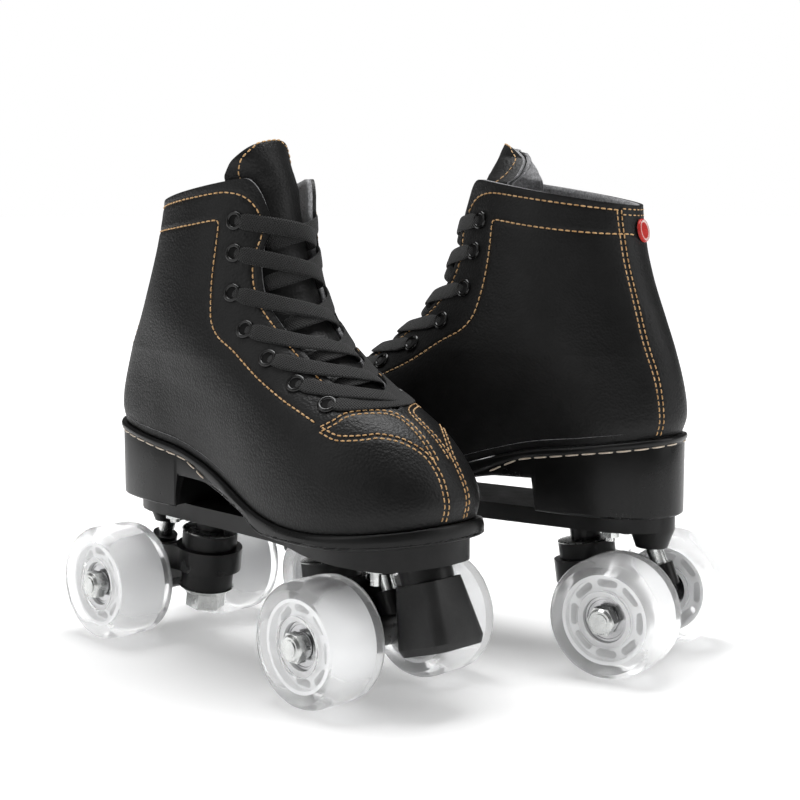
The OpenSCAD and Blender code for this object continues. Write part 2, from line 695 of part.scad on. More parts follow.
module left_boot_tongue() {
    color("#202021") skate("left") boot_tongue(tongue_turn);
}

module left_boot_overlays() {
    color("#232324") skate("left") boot_overlays();
}

module left_outsole() {
    color("#161617") skate("left") outsole();
}

module left_laces() {
    color("#101011") skate("left") laces();
}

module left_eyelets() {
    color("#2a2b2d") skate("left") eyelets();
}

module left_size_badge() {
    color("#c8202a") skate("left") size_badge();
}

module left_plate() {
    color("#151516") skate("left") plate();
}

module left_kingpins() {
    color("#b9bcc0") skate("left") kingpins();
}

module left_fasteners() {
    color("#c4c7ca") skate("left") fasteners();
}

module left_toe_stop() {
    color("#1a1a1b") skate("left") toe_stop();
}

module left_front_hanger() {
    color("#131314") skate("left") truck("front") hanger();
}

module left_front_cushions() {
    color("#1b1b1c") skate("left") truck("front") cushions();
}

module left_front_axle() {
    color("#bfc2c6") skate("left") truck("front") axle();
}

module left_front_outer_tyre() {
    color("#e9eef2") skate("left") wheel_at("front", "outer") tyre();
}

module left_front_outer_core() {
    color("#f7f7f7") skate("left") wheel_at("front", "outer") core();
}

module left_front_outer_bearings() {
    color("#9a9da1") skate("left") wheel_at("front", "outer") bearings();
}

module left_front_inner_tyre() {
    color("#e9eef2") skate("left") wheel_at("front", "inner") tyre();
}

module left_front_inner_core() {
    color("#f7f7f7") skate("left") wheel_at("front", "inner") core();
}

module left_front_inner_bearings() {
    color("#9a9da1") skate("left") wheel_at("front", "inner") bearings();
}

module left_rear_hanger() {
    color("#131314") skate("left") truck("rear") hanger();
}

module left_rear_cushions() {
    color("#1b1b1c") skate("left") truck("rear") cushions();
}

module left_rear_axle() {
    color("#bfc2c6") skate("left") truck("rear") axle();
}

module left_rear_outer_tyre() {
    color("#e9eef2") skate("left") wheel_at("rear", "outer") tyre();
}

module left_rear_outer_core() {
    color("#f7f7f7") skate("left") wheel_at("rear", "outer") core();
}

module left_rear_outer_bearings() {
    color("#9a9da1") skate("left") wheel_at("rear", "outer") bearings();
}

module left_rear_inner_tyre() {
    color("#e9eef2") skate("left") wheel_at("rear", "inner") tyre();
}

module left_rear_inner_core() {
    color("#f7f7f7") skate("left") wheel_at("rear", "inner") core();
}

module left_rear_inner_bearings() {
    color("#9a9da1") skate("left") wheel_at("rear", "inner") bearings();
}

right_boot_upper();
right_boot_lining();
right_boot_tongue();
right_boot_overlays();
right_outsole();
right_laces();
right_eyelets();
right_size_badge();
right_plate();
right_kingpins();
right_fasteners();
right_toe_stop();
right_front_hanger();
right_front_cushions();
right_front_axle();
right_front_outer_tyre();
right_front_outer_core();
right_front_outer_bearings();
right_front_inner_tyre();
right_front_inner_core();
right_front_inner_bearings();
right_rear_hanger();
right_rear_cushions();
right_rear_axle();
right_rear_outer_tyre();
right_rear_outer_core();
right_rear_outer_bearings();
right_rear_inner_tyre();
right_rear_inner_core();
right_rear_inner_bearings();
left_boot_upper();
left_boot_lining();
left_boot_tongue();
left_boot_overlays();
left_outsole();
left_laces();
left_eyelets();
left_size_badge();
left_plate();
left_kingpins();
left_fasteners();
left_toe_stop();
left_front_hanger();
left_front_cushions();
left_front_axle();
left_front_outer_tyre();
left_front_outer_core();
left_front_outer_bearings();
left_front_inner_tyre();
left_front_inner_core();
left_front_inner_bearings();
left_rear_hanger();
left_rear_cushions();
left_rear_axle();
left_rear_outer_tyre();
left_rear_outer_core();
left_rear_outer_bearings();
left_rear_inner_tyre();
left_rear_inner_core();
left_rear_inner_bearings();
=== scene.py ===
"""Looks for the pair of quad roller skates, built around the CAD frame. Tables are in millimetres."""
import json
import math

import bpy
import numpy as np
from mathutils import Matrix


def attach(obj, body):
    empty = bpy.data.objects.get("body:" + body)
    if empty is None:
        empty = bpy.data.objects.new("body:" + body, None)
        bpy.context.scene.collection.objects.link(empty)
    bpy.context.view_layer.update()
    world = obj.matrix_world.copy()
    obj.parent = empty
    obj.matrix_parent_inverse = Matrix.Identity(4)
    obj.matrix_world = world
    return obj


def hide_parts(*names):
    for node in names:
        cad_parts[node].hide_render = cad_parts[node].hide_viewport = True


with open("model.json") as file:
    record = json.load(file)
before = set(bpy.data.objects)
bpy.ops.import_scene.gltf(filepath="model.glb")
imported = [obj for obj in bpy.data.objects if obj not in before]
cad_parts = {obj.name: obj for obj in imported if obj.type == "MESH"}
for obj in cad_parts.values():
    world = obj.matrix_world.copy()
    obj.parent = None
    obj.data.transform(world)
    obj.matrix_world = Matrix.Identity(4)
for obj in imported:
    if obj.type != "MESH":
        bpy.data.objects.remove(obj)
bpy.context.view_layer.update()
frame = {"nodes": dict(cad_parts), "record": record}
NODES = frame["nodes"]
JOINTS = {j["name"]: j for j in frame["record"]["behaviour"]["joints"]}
SIDES = ("right", "left")


# ---------- placing ----------

def unit(v):
    v = np.asarray(v, float)
    return v / np.maximum(np.linalg.norm(v, axis=-1, keepdims=True), 1e-12)


def skate_frame(side):
    """Origin and axes (toe, inner side, up) of one skate, from its four wheel joints."""
    hub = {(e, p): np.array(JOINTS[f"{side}_{e}_{p}_wheel_spin"]["pos_m"])
           for e in ("front", "rear") for p in ("outer", "inner")}
    origin = sum(hub.values()) / 4
    origin[2] = 0
    toe = hub["front", "outer"] + hub["front", "inner"] - hub["rear", "outer"] - hub["rear", "inner"]
    inward = hub["front", "inner"] + hub["rear", "inner"] - hub["front", "outer"] - hub["rear", "outer"]
    return origin, np.array([unit(toe), unit(inward), (0, 0, 1)])


FRAMES = {side: skate_frame(side) for side in SIDES}


def to_row(side, points):
    origin, axes = FRAMES[side]
    return origin + np.asarray(points, float) / 1000 @ axes


def mesh_piece(name, side, points, faces, material, body, smooth=True, face_slots=None):
    """Mesh from points in one skate's own frame, riding on a body."""
    mesh = bpy.data.meshes.new(name)
    if side == "left":
        faces = [tuple(reversed(f)) for f in faces]
    mesh.from_pydata(to_row(side, points).tolist(), [], [tuple(int(i) for i in f) for f in faces])
    for m in material if isinstance(material, (list, tuple)) else [material]:
        mesh.materials.append(m)
    if face_slots is not None:
        mesh.polygons.foreach_set("material_index", np.asarray(face_slots, np.int32))
    mesh.polygons.foreach_set("use_smooth", [smooth] * len(mesh.polygons))
    mesh.validate()
    obj = bpy.data.objects.new(name, mesh)
    bpy.context.scene.collection.objects.link(obj)
    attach(obj, body)
    return obj


# ---------- camera, light, floor ----------

LOOK = math.radians(45.98)
CAM = to_row("right", [580.19, -470.09, 220.16])
camera = bpy.data.objects.new("camera", bpy.data.cameras.new("camera"))
camera.data.lens = 69.26
camera.data.sensor_width = 36
camera.data.clip_start = 0.01
camera.location = CAM
camera.rotation_euler = (math.radians(90 - 7.18), 0, LOOK)
bpy.context.scene.collection.objects.link(camera)
bpy.context.scene.camera = camera


def light(name, place, target, size, power):
    data = bpy.data.lights.new(name, "AREA")
    data.shape = "RECTANGLE"
    data.size, data.size_y = size
    data.energy = power
    obj = bpy.data.objects.new(name, data)
    obj.location = place
    way = np.array(target) - np.array(place)
    tip = math.atan2(math.hypot(way[0], way[1]), -way[2])
    obj.rotation_euler = (tip, 0, math.atan2(way[1], way[0]) - math.pi / 2)
    bpy.context.scene.collection.objects.link(obj)


def seen_from_camera(right, away, up):
    """Point given across, away from and above the middle of the pair as the camera sees it."""
    return (right * math.cos(LOOK) - away * math.sin(LOOK),
            right * math.sin(LOOK) + away * math.cos(LOOK), up)


light("key_left", seen_from_camera(-1.1, -0.5, 0.9), (0, 0, 0.12), (0.7, 1.1), 3.4)
light("key_right", seen_from_camera(1.2, -0.35, 0.8), (0, 0, 0.12), (0.6, 1.1), 5)
light("top", seen_from_camera(0.0, 0.25, 1.5), (0, 0, 0.1), (1.2, 0.8), 23)

# Full light behind the object as seen directly or through the tyres, and less where it lights the object
WORLD_LOW, WORLD_FULL = 0.13, 1.0
world = bpy.data.worlds.new("studio")
world.use_nodes = True
world.node_tree.nodes["Background"].inputs["Color"].default_value = (1, 1, 1, 1)
path_kind = world.node_tree.nodes.new("ShaderNodeLightPath")
straight = world.node_tree.nodes.new("ShaderNodeMath")
straight.operation = "MAXIMUM"
world.node_tree.links.new(path_kind.outputs["Is Camera Ray"], straight.inputs[0])
world.node_tree.links.new(path_kind.outputs["Transmission Depth"], straight.inputs[1])
straight.use_clamp = True
level = world.node_tree.nodes.new("ShaderNodeMapRange")
level.inputs["To Min"].default_value, level.inputs["To Max"].default_value = WORLD_LOW, WORLD_FULL
world.node_tree.links.new(straight.outputs[0], level.inputs["Value"])
world.node_tree.links.new(level.outputs["Result"], world.node_tree.nodes["Background"].inputs["Strength"])
bpy.context.scene.world = world
bpy.context.scene.view_settings.view_transform = "Standard"


# ---------- materials ----------

class Maker:
    """Short hand for building one node material."""

    def __init__(self, name, colour, roughness, **values):
        self.material = bpy.data.materials.new(name)
        self.material.use_nodes = True
        self.tree = self.material.node_tree
        self.shader = self.tree.nodes["Principled BSDF"]
        self.shader.inputs["Base Color"].default_value = (*colour, 1)
        self.shader.inputs["Roughness"].default_value = roughness
        for key, value in values.items():
            self.shader.inputs[key.replace("_", " ")].default_value = value
        self.coord = self.node("ShaderNodeTexCoord").outputs["Object"]

    def node(self, kind, inputs=None, **settings):
        n = self.tree.nodes.new(kind)
        for key, value in settings.items():
            setattr(n, key, value)
        for key, value in (inputs or {}).items():
            if isinstance(value, bpy.types.NodeSocket):
                self.tree.links.new(value, n.inputs[key])
            else:
                n.inputs[key].default_value = value
        return n

    def noise(self, scale, detail=3, rough=0.6):
        return self.node("ShaderNodeTexNoise", {"Vector": self.coord, "Scale": scale,
                                                "Detail": detail, "Roughness": rough}).outputs["Fac"]

    def cells(self, scale):
        return self.node("ShaderNodeTexVoronoi", {"Vector": self.coord, "Scale": scale}).outputs["Distance"]

    def spread(self, value, low, high, from_low=0.3, from_high=0.7):
        return self.node("ShaderNodeMapRange", {"Value": value, "From Min": from_low, "From Max": from_high,
                                                "To Min": low, "To Max": high}).outputs["Result"]

    def math(self, kind, a, b):
        return self.node("ShaderNodeMath", {0: a, 1: b}, operation=kind).outputs[0]

    def tint(self, value, first, second, low=0.3, high=0.7):
        ramp = self.node("ShaderNodeValToRGB", {"Fac": value})
        ramp.color_ramp.elements[0].position, ramp.color_ramp.elements[1].position = low, high
        ramp.color_ramp.elements[0].color, ramp.color_ramp.elements[1].color = (*first, 1), (*second, 1)
        return ramp.outputs["Color"]

    def set(self, key, output):
        self.tree.links.new(output, self.shader.inputs[key])

    def bump(self, height, distance, strength=1.0, below=None):
        inputs = {"Height": height, "Distance": distance, "Strength": strength}
        if below:
            inputs["Normal"] = below
        out = self.node("ShaderNodeBump", inputs).outputs["Normal"]
        self.set("Normal", out)
        return out


def leather(name, dark=0.006, pale=0.011):
    m = Maker(name, (dark,) * 3, 0.4, Specular_IOR_Level=0.24)
    grain = m.cells(820)
    fine = m.noise(2200, 3)
    broad = m.noise(14, 3)
    m.set("Base Color", m.tint(m.noise(60, 5), (dark,) * 3, (pale,) * 3))
    m.set("Roughness", m.math("ADD", m.spread(broad, 0.3, 0.4), m.spread(grain, 0, 0.1, 0.1, 0.6)))
    low = m.bump(m.noise(28, 2), 0.0008, 0.08)
    low = m.bump(grain, 0.0003, 0.55, low)
    m.bump(fine, 0.00012, 0.6, low)
    return m.material


LEATHER = leather("upper_leather")
TONGUE_LEATHER = leather("tongue_leather", 0.007, 0.013)


def fleece():
    m = Maker("lining_fleece", (0.5, 0.5, 0.51), 0.95, Sheen_Weight=0.4)
    m.set("Base Color", m.tint(m.noise(700, 6, 0.75), (0.16, 0.16, 0.17), (0.72, 0.72, 0.74), 0.32, 0.66))
    low = m.bump(m.noise(450, 5, 0.7), 0.0012, 0.8)
    m.bump(m.noise(1800, 5, 0.8), 0.0008, 0.8, low)
    return m.material


FLEECE = fleece()


def dark_stuff(name, level, rough, scale, bump_mm, spread=0.12, colour=(1, 1, 1), **values):
    values.setdefault("Specular_IOR_Level", 0.26)
    m = Maker(name, tuple(level * c for c in colour), rough, **values)
    m.set("Base Color", m.tint(m.noise(scale / 12, 4), tuple(level * 0.75 * c for c in colour),
                               tuple(level * 1.35 * c for c in colour)))
    m.set("Roughness", m.spread(m.noise(scale / 20, 5), rough - spread / 2, rough + spread / 2))
    m.bump(m.noise(scale, 4), bump_mm / 1000, 0.5)
    return m.material


SOLE = dark_stuff("outsole_rubber", 0.006, 0.3, 700, 0.12)
PLATE = dark_stuff("plate_nylon", 0.007, 0.36, 1500, 0.1)
STOP = dark_stuff("stop_rubber", 0.022, 0.4, 900, 0.15)
PAINT = dark_stuff("hanger_paint", 0.006, 0.3, 1200, 0.08)
CUSHION = dark_stuff("cushion_rubber", 0.006, 0.42, 900, 0.1)
FOAM = dark_stuff("tongue_foam", 0.006, 0.95, 900, 0.6)
ENAMEL = dark_stuff("eyelet_enamel", 0.006, 0.22, 500, 0.02, Coat_Weight=0.3, Coat_Roughness=0.15)


def metal(name, colour, rough, scale=900):
    m = Maker(name, colour, rough, Metallic=1.0)
    m.set("Base Color", m.tint(m.noise(scale / 8, 4), tuple(c * 0.8 for c in colour),
                               tuple(min(1, c * 1.12) for c in colour)))
    m.set("Roughness", m.spread(m.noise(scale / 6, 5), rough - 0.07, rough + 0.1))
    m.bump(m.noise(scale, 4), 0.00006, 0.4)
    return m.material


ZINC = metal("hardware_zinc", (0.72, 0.73, 0.72), 0.24)
STEEL = metal("bearing_steel", (0.55, 0.55, 0.56), 0.2)


def clear():
    m = Maker("tyre_clear", (0.985, 0.987, 0.99), 0.15, Transmission_Weight=0.8, IOR=1.2,
              Specular_IOR_Level=0.5)
    m.set("Roughness", m.spread(m.noise(260, 4), 0.1, 0.2))
    m.bump(m.noise(90, 3), 0.0003, 0.12)
    return m.material


CLEAR = clear()


def milky():
    m = Maker("core_milky", (0.94, 0.945, 0.95), 0.4)
    m.set("Base Color", m.tint(m.noise(120, 4), (0.92, 0.925, 0.93), (0.96, 0.962, 0.965)))
    m.bump(m.noise(500, 4), 0.0001, 0.4)
    return m.material


MILKY = milky()


def thread(name, first, second):
    m = Maker(name, first, 0.55, Sheen_Weight=0.3)
    m.set("Base Color", m.tint(m.noise(260, 3), first, second))
    wave = m.node("ShaderNodeTexWave", {"Vector": m.coord, "Scale": 900, "Distortion": 2.0},
                  bands_direction="DIAGONAL")
    m.bump(wave.outputs["Fac"], 0.00012, 0.7)
    return m.material


GOLD = thread("stitch_gold", (0.5, 0.26, 0.08), (0.82, 0.52, 0.24))
CREAM = thread("stitch_cream", (0.62, 0.5, 0.38), (0.82, 0.72, 0.6))


def braid():
    """Flat braided cord: slanted yarns from both edges, from the weave coordinates in millimetres."""
    m = Maker("lace_cord", (0.006,) * 3, 0.62, Sheen_Weight=0.12, Specular_IOR_Level=0.25)
    weave = m.node("ShaderNodeAttribute", attribute_name="weave").outputs["Vector"]
    yarns = []
    for turn in (0.62, -0.62):
        turned = m.node("ShaderNodeVectorRotate", {"Vector": weave, "Angle": turn},
                        rotation_type="Z_AXIS").outputs[0]
        yarns.append(m.node("ShaderNodeTexWave", {"Vector": turned, "Scale": 0.31, "Distortion": 0.4},
                            bands_direction="X").outputs["Fac"])
    yarn_height_and_groove_shade = m.math("MAXIMUM", yarns[0], yarns[1])
    # Painted shade: the base colour is darker down in the grooves between the yarns, following the same yarn
    # height that the bump uses
    m.set("Base Color", m.tint(yarn_height_and_groove_shade, (0.0025,) * 3, (0.017,) * 3, 0.35, 0.95))
    low = m.bump(yarn_height_and_groove_shade, 0.0005, 0.9)
    m.bump(m.noise(2500, 3), 0.0001, 0.4, low)
    return m.material


LACE = braid()
RED = dark_stuff("badge_plastic", 0.5, 0.3, 400, 0.02, colour=(1, 0.06, 0.05))
RING = dark_stuff("badge_ring", 0.7, 0.35, 400, 0.02, colour=(1, 0.7, 0.66))


def assign(ending, material):
    for name, obj in NODES.items():
        if name.endswith(ending):
            obj.data.materials.clear()
            obj.data.materials.append(material)


for ending, material in (
        ("outsole", SOLE), ("plate", PLATE), ("toe_stop", STOP), ("hanger", PAINT),
        ("cushions", CUSHION), ("eyelets", ENAMEL), ("kingpins", ZINC), ("fasteners", ZINC),
        ("axle", ZINC), ("bearings", STEEL), ("_tyre", CLEAR), ("_core", MILKY),
        ("size_badge", RED), ("boot_upper", LEATHER), ("boot_overlays", LEATHER),
        ("boot_tongue", TONGUE_LEATHER), ("boot_lining", FLEECE), ("laces", LACE)):
    assign(ending, material)


def soft_edges():
    """Node group: joins a CAD mesh's split corners and shades it smooth except over sharp edges."""
    group = bpy.data.node_groups.new("soft_edges", "GeometryNodeTree")
    group.interface.new_socket("Geometry", in_out="INPUT", socket_type="NodeSocketGeometry")
    group.interface.new_socket("Geometry", in_out="OUTPUT", socket_type="NodeSocketGeometry")
    add = group.nodes.new
    start, end = add("NodeGroupInput"), add("NodeGroupOutput")
    merge, edge = add("GeometryNodeMergeByDistance"), add("GeometryNodeInputMeshEdgeAngle")
    sharp = add("FunctionNodeCompare")
    faces, edges = add("GeometryNodeSetShadeSmooth"), add("GeometryNodeSetShadeSmooth")
    merge.inputs["Distance"].default_value = 0.00001
    sharp.inputs["B"].default_value = math.radians(28)
    edges.domain = "EDGE"
    edges.inputs["Shade Smooth"].default_value = False
    for a, b in ((start.outputs[0], merge.inputs["Geometry"]),
                 (merge.outputs[0], faces.inputs["Geometry"]),
                 (faces.outputs[0], edges.inputs["Geometry"]),
                 (edge.outputs["Unsigned Angle"], sharp.inputs["A"]),
                 (sharp.outputs[0], edges.inputs["Selection"]),
                 (edges.outputs[0], end.inputs[0])):
        group.links.new(a, b)
    return group


SOFT = soft_edges()
for name, obj in NODES.items():
    if name.endswith(("plate", "toe_stop", "hanger", "cushions", "kingpins", "fasteners", "axle",
                      "_tyre", "_core", "bearings")):
        obj.modifiers.new("soft", "NODES").node_group = SOFT
        if name.endswith(("plate", "toe_stop", "hanger", "fasteners")):
            round_ = obj.modifiers.new("round", "BEVEL")
            round_.width = 0.0012 if name.endswith("toe_stop") else 0.0005
            round_.segments, round_.limit_method, round_.angle_limit = 2, "ANGLE", math.radians(35)
            round_.harden_normals = True


# ---------- boot surface ----------

# From the sole up: back x, back z, front x, front z, half width, share of oval, share of sag
LOOPS = np.array([
    (-96, 112, 128, 88.5, 38.5, 0, 1), (-98.3, 119, 130, 96, 39.5, 0.05, 0.8),
    (-98.3, 126, 127.5, 104.5, 39.3, 0.15, 0.55), (-97.3, 133, 122, 113, 38.4, 0.3, 0.32),
    (-95.8, 140, 115, 120.3, 37.2, 0.45, 0.15), (-94.2, 146, 106, 126.3, 36.2, 0.6, 0.05),
    (-92.3, 152, 95.5, 131.5, 35.3, 0.72, 0), (-90, 158, 84, 137.5, 34.6, 0.84, 0),
    (-87.5, 164, 72.5, 144.8, 34, 0.94, 0), (-84.8, 170.5, 60.5, 153.3, 33.4, 1, 0),
    (-82, 177, 49, 163, 32.8, 1, 0), (-79.2, 184, 39.5, 174.5, 32, 1, 0),
    (-76.8, 191, 33, 186.5, 31.2, 1, 0), (-74.7, 198, 28.5, 198.5, 30.4, 1, 0),
    (-73, 205.5, 25.5, 210, 29.8, 1, 0), (-71.5, 213, 23.5, 222, 29.4, 1, 0),
    (-70.5, 220.5, 22.5, 236, 29.2, 1, 0)], float)
TOP = len(LOOPS) - 1
# Half width of the sole as a share of the widest, by share of its length from the heel
PLAN = np.array([(0, 0), (.012, .26), (.03, .42), (.06, .56), (.12, .665), (.2, .705), (.3, .69), (.4, .715),
                 (.5, .805), (.6, .92), (.7, 1), (.78, 1), (.86, .925), (.92, .79), (.96, .62), (.985, .4),
                 (.995, .23), (1, 0)])
PLAN_TURN = np.degrees(np.arccos(1 - 2 * PLAN[:, 0]))
# Height of the edge where the boot meets the sole, by x
FEATHER = np.array([(-110, 114.5), (-96, 112.5), (-60, 107.5), (-27, 102.5), (-10, 98), (12, 91), (25, 86.5),
                    (40, 82.3), (60, 79.5), (80, 79.1), (100, 80.7), (120, 83.3), (134, 85.8)], float)
# Loop number and turn from the heel, in degrees, of the throat's edge and of the eyelets
THROAT = np.array([(5.9, 180), (6.02, 176), (6.1, 170), (6.25, 164), (6.6, 158.5), (7.3, 155.2), (8.3, 152.4),
                   (9.4, 149.3), (10.1, 146.6), (10.8, 142.8), (11.75, 141), (12.75, 142.4), (13.6, 146.8),
                   (14.4, 150.6), (15.2, 150.8), (16, 150)])
EYELETS = [(14.4, 124.7), (13.0, 124.1), (11.3, 120.9), (9.75, 122.7), (8.4, 127.7), (7.15, 134.3),
           (6.02, 142.2)]
# The boot at its sole: the heel's x, the length and the half width; the oval's widest point as a share
HEEL_X, SOLE_LONG, SOLE_HALF = -96, 224, 38.5
OVAL_MID = 0.47
DECK = 73.0  # top of the plate


def smooth(xs, ys, x):
    """Smooth curve through the points, for an array of x."""
    xs, ys, x = np.asarray(xs, float), np.asarray(ys, float), np.asarray(x, float)
    step = np.diff(xs)
    flat = ys.reshape(len(xs), -1)
    slope = np.diff(flat, axis=0) / step[:, None]
    tangent = np.vstack([slope[:1], (slope[1:] * step[:-1, None] + slope[:-1] * step[1:, None])
                         / (step[1:] + step[:-1])[:, None], slope[-1:]])
    i = np.clip(np.searchsorted(xs, x.ravel(), side="right") - 1, 0, len(xs) - 2)
    w = step[i][:, None]
    t = np.clip((x.ravel()[:, None] - xs[i][:, None]) / w, 0, 1)
    value = ((2 * t ** 3 - 3 * t ** 2 + 1) * flat[i] + (t ** 3 - 2 * t ** 2 + t) * w * tangent[i]
             + (3 * t ** 2 - 2 * t ** 3) * flat[i + 1] + (t ** 3 - t ** 2) * w * tangent[i + 1])
    return value.reshape(x.shape + ys.shape[1:])


def mid_y(x, z):
    return -3.5 + 3.5 * np.clip((x - 60) / 70, 0, 1) ** 2 + 7.5 * np.clip((z - 150) / 75, 0, 1)


def surf(u, turn, inset=0.0):
    """Boot surface at loop number u, turned from heel (0) to toe (180): plus inner side, minus outer."""
    u, turn = np.broadcast_arrays(np.asarray(u, float), np.asarray(turn, float))
    r = smooth(np.arange(TOP + 1), LOOPS, u)
    c = (1 - np.cos(np.radians(turn))) / 2
    x = r[..., 0] + inset + (r[..., 2] - r[..., 0] - 2 * inset) * c
    z = r[..., 1] + (r[..., 3] - r[..., 1]) * c
    z = z + r[..., 6] * (smooth(FEATHER[:, 0], FEATHER[:, 1], x) 
                       - 112 + 23.5 * (x - HEEL_X) / SOLE_LONG)
    arc = np.where(c < OVAL_MID, OVAL_MID, 1 - OVAL_MID)
    oval = np.sqrt(np.clip(1 - ((c - OVAL_MID) / arc) ** 2, 0, 1))
    plan = smooth(PLAN_TURN, PLAN[:, 1], np.abs(turn))
    half = (r[..., 4] - inset) * ((1 - r[..., 5]) * plan + r[..., 5] * oval)
    return np.stack([x, mid_y(x, z) + np.sign(turn) * half, z], -1)


def normal(u, turn):
    e = 0.05
    along = surf(u, turn + 1) - surf(u, turn - 1)
    up = surf(np.clip(u + e, 0, TOP), turn) - surf(np.clip(u - e, 0, TOP), turn)
    return unit(np.cross(up, along))


def path_points(table, side):
    """Loop numbers and turns every millimetre along a smooth path of (loop number, turn) on one side."""
    table = np.asarray(table, float)
    t = np.arange(len(table))
    fine = smooth(t, table, np.linspace(0, len(table) - 1, 60 * len(table)))
    p = surf(fine[:, 0], side * fine[:, 1])
    run = np.concatenate([[0], np.cumsum(np.linalg.norm(np.diff(p, axis=0), axis=1))])
    count = max(2, int(round(run[-1])) + 1)
    at = np.linspace(0, run[-1], count)
    u = np.interp(at, run, fine[:, 0])
    turn = np.interp(at, run, fine[:, 1]) * side
    return u, turn


# Stitch lines on one side, as (loop number, turn)
SEAM = [(14.13, 12), (14.18, 19.2), (14.17, 42.3), (14.24, 67.4), (14.36, 90), (14.47, 106), (14.46, 112),
        (14.2, 113), (13.16, 111.4), (11.01, 107), (9.79, 104.3), (9, 105.5), (8.27, 111.6), (6.67, 117.7),
        (5.59, 123.2), (4.63, 131.5)]
COLLAR = [(15.62, 26), (15.62, 41.6), (15.62, 74.6), (15.62, 95), (15.61, 112), (15.52, 122), (15.32, 131),
          (15.02, 137.6), (14.6, 142.4), (14.15, 144.6), (13.7, 143.4), (13.2, 139.8), (12.75, 136.8),
          (11.75, 135.2), (10.8, 137), (10.1, 140.7), (9.4, 143.4), (8.3, 146.8), (7.3, 149.6), (6.6, 152)]
TOE_LOW = [(4.29, 132.5), (4.0, 137.3), (4.05, 143), (4.2, 150), (4.32, 156.1), (4.1, 164.5), (3.4, 171.5),
           (2.5, 173.8), (1.42, 174), (0.6, 174.2), (0.1, 174)]
TOE_HIGH = [(4.29, 132.5), (4.9, 140.3), (5.3, 145), (5.62, 151), (5.8, 158), (5.86, 165), (5.78, 171),
            (5.5, 174.4), (4.9, 175.6), (4, 175.6), (3, 175.6)]
HEEL = [(15.68, 26.2), (15, 25.8), (13.78, 25), (12, 24), (10.59, 23.1), (7.06, 22.4), (3.96, 19),
        (1.58, 17.6), (0.1, 17)]
HEEL_TOP = [(15.72, 0.3), (15.72, 24)]
HEEL_ROW = [(15.36, 0.3), (15.36, 24)]


def boot_grid(rows, cols):
    """Grid of (loop number, turn), the turn running from one throat edge round the heel to the other."""
    u = np.unique(np.concatenate([np.linspace(0, 5.9, rows // 3), np.linspace(5.9, 6.7, 14),
                                  np.linspace(6.7, TOP, rows - rows // 3)]))
    edge = np.where(u <= 5.9, 180.0, smooth(THROAT[:, 0], THROAT[:, 1], np.maximum(u, 5.9)))
    f = np.linspace(-1, 1, cols)
    turn = edge[:, None] * f[None]
    uu = np.repeat(u[:, None], cols, 1)
    # rounded upper front corner of the collar
    corner = np.clip((np.abs(f)[None] - 0.86) / 0.14, 0, 1) ** 2 * np.clip((uu - 13.4) / 2.6, 0, 1)
    return np.clip(uu - corner * 1.35, 0, TOP), turn, u


def shell_faces(rows, cols, u):
    """Quads of a grid, with the first and last column joined below the throat."""
    faces = []
    for r in range(rows - 1):
        for i in range(cols - 1):
            q = [r * cols + i, r * cols + i + 1, (r + 1) * cols + i + 1, (r + 1) * cols + i]
            q = [k - (cols - 1) if k % cols == cols - 1 and u[k // cols] <= 5.9001 else k for k in q]
            faces.append(tuple(dict.fromkeys(q[::-1])))
    return faces


def drop_loose(points, faces):
    used = sorted({i for f in faces for i in f})
    new = {old: i for i, old in enumerate(used)}
    return points[used], [tuple(new[i] for i in f) for f in faces]


def near_lines(points, lines):
    """Distance from each point to the nearest of the sampled lines."""
    best = np.full(len(points), 1e9)
    for line in lines:
        low, high = line.min(0) - 8, line.max(0) + 8
        inside = np.where(((points > low) & (points < high)).all(1))[0]
        for part in np.array_split(inside, max(1, len(inside) // 4000)):
            if len(part):
                d = np.linalg.norm(points[part, None] - line[None], axis=2).min(1)
                best[part] = np.minimum(best[part], d)
    return best


def thick(obj, amount, round_by):
    """Gives a sheet its thickness inwards, with rounded edges."""
    m = obj.modifiers.new("thickness", "SOLIDIFY")
    m.thickness, m.offset, m.use_even_offset = amount / 1000, -1, False
    if round_by:
        b = obj.modifiers.new("round", "BEVEL")
        b.width, b.segments, b.limit_method, b.angle_limit = round_by / 1000, 3, "ANGLE", math.radians(55)


def stitches(name, side, lines, material, body, length=2.5, pitch=3.2, radius=0.34, lift=0.25):
    """Short threads laid along surface lines, each line given as (points, normals)."""
    verts, faces = [], []
    ring, along = 6, np.array([-0.5, -0.43, -0.2, 0.2, 0.43, 0.5])
    girth = np.array([0.35, 0.8, 1, 1, 0.8, 0.35])
    sink = np.array([-1.5, -0.55, 0, 0, -0.55, -1.5])
    for p, n in lines:
        run = np.concatenate([[0], np.cumsum(np.linalg.norm(np.diff(p, axis=0), axis=1))])
        count = max(1, int(round(run[-1] / pitch)))
        for k in range(count):
            s = (k + 0.5) * run[-1] / count
            at = lambda q, a: np.array([np.interp(q, run, a[:, i]) for i in range(3)])
            way = unit(at(s + length / 2, p) - at(s - length / 2, p))
            up = unit(at(s, n))
            across = unit(np.cross(way, up))
            base = len(verts)
            for a, g, d in zip(along, girth, sink):
                mid = at(s + a * length, p) + up * (lift + d * radius)
                for j in range(ring):
                    t = 2 * math.pi * j / ring
                    verts.append(mid + radius * g * (across * math.cos(t) * 1.1 + up * math.sin(t)))
            for a in range(len(along) - 1):
                for j in range(ring):
                    i, o = base + a * ring + j, (j + 1) % ring - j
                    faces.append((i, i + ring, i + ring + o, i + o))
            faces.append(tuple(base + j for j in range(ring)))
            faces.append(tuple(base + (len(along) - 1) * ring + j for j in range(ring))[::-1])
    return mesh_piece(name, side, np.array(verts), faces, material, body)


def line_on(table):
    """(points, normals) of a surface line on both sides of the boot."""
    out = []
    for side in (-1, 1):
        u, turn = path_points(table, side)
        n = normal(u, turn)
        out.append((surf(u, turn), n))
    return out


# ---------- tongue ----------

